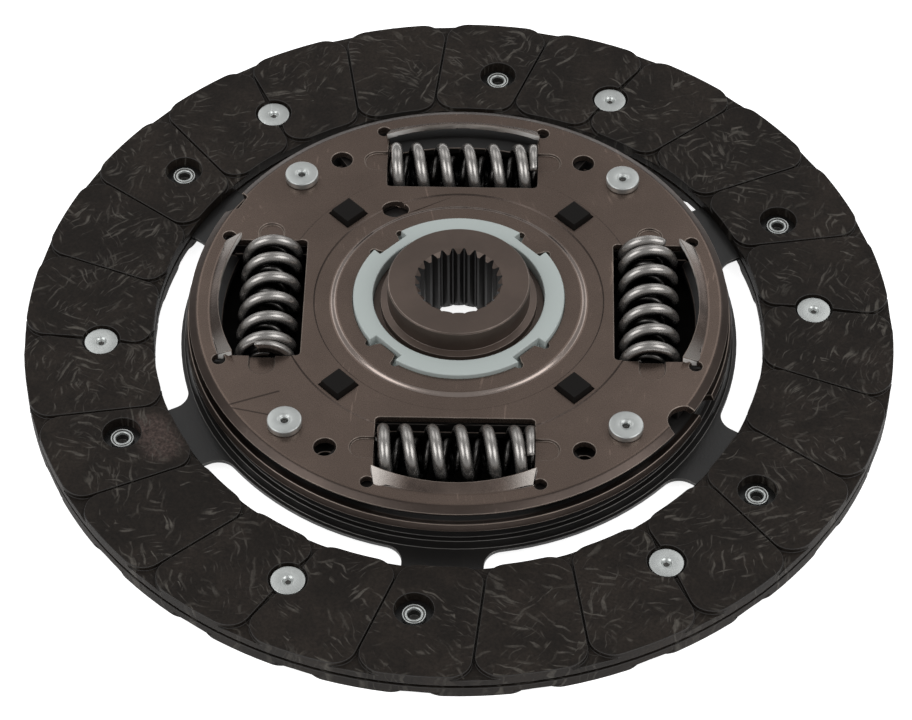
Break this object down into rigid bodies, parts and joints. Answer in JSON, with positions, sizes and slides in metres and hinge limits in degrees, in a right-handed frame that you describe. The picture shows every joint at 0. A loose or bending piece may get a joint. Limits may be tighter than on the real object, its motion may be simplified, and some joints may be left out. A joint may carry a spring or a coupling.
{
  "type": "clutch disc",
  "caption": "Dry clutch friction disc with riveted grooved facings, a coil-spring torsion damper between steel plates and a splined hub.",
  "frame": {"origin": "centre of the rear friction face, on the axis of the disc", "axes": "+Z along the spline axis, from the rear friction face towards the cover plate and the long end of the hub; the windows lie near the X and Y axes"},
  "size_m": [0.2, 0.2, 0.0217],
  "materials": {
    "friction_lining": "matt moulded yarn lining, dark brown-black with paler flecks",
    "zinc_rivet": "zinc-plated, light silver",
    "black_steel": "blackened steel, satin",
    "brown_steel": "brown-bronze phosphate, satin",
    "brown_steel_hub": "brown-bronze phosphate, fine turned",
    "white_plastic": "smooth pale grey-white plastic",
    "black_plastic": "black moulded plastic",
    "spring_steel": "shot-peened spring wire, silver-grey"
  },
  "bodies": {
    "disc": {"facing_front": "friction_lining", "facing_rear": "friction_lining", "facing_rivets_front": "zinc_rivet", "facing_rivets_rear": "zinc_rivet", "carrier_disc": "black_steel", "cover_plate": "brown_steel", "rear_plate": "brown_steel", "stop_pin_1": "zinc_rivet", "stop_pin_2": "zinc_rivet", "stop_pin_3": "zinc_rivet", "stop_pin_4": "zinc_rivet", "guide_ring_front": "white_plastic", "peg_ring": "black_plastic", "friction_ring_rear": "black_plastic", "support_washer": "brown_steel", "diaphragm_spring": "black_steel", "spring_outer_1": "spring_steel", "spring_outer_2": "spring_steel", "spring_outer_3": "spring_steel", "spring_outer_4": "spring_steel", "spring_inner_1": "spring_steel", "spring_inner_2": "spring_steel", "spring_inner_3": "spring_steel", "spring_inner_4": "spring_steel"},
    "hub": {"hub": "brown_steel_hub", "hub_flange": "brown_steel_hub"}
  },
  "joints": [
    {"name": "hub_twist", "type": "hinge", "parent": "disc", "child": "hub", "pos_m": [0, 0, 0.0119], "axis": [0, 0, 1], "range_deg": [-8, 8], "stiffness_Nm_per_rad": 5, "deforming": ["spring_outer_1", "spring_outer_2", "spring_outer_3", "spring_outer_4", "spring_inner_1", "spring_inner_2", "spring_inner_3", "spring_inner_4"]}
  ]
}
